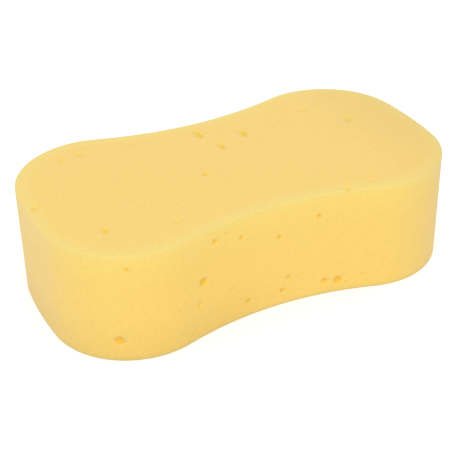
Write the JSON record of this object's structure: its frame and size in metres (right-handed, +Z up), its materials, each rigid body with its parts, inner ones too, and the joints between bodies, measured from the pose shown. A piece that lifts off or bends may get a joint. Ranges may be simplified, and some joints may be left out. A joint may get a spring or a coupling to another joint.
{
  "type": "cleaning sponge",
  "caption": "Large block of soft yellow foam with rounded ends and a waist on each long side to grip, for washing and wiping.",
  "frame": {"origin": "centre of the underside, on the surface that the sponge lies on", "axes": "+X along the length, +Y across the width towards the back, +Z up through the height"},
  "size_m": [0.22, 0.12, 0.06],
  "materials": {
    "foam": "matte fine-celled foam, cut faces, with scattered larger pores"
  },
  "bodies": {
    "root": {"sponge": "foam"}
  },
  "joints": []
}
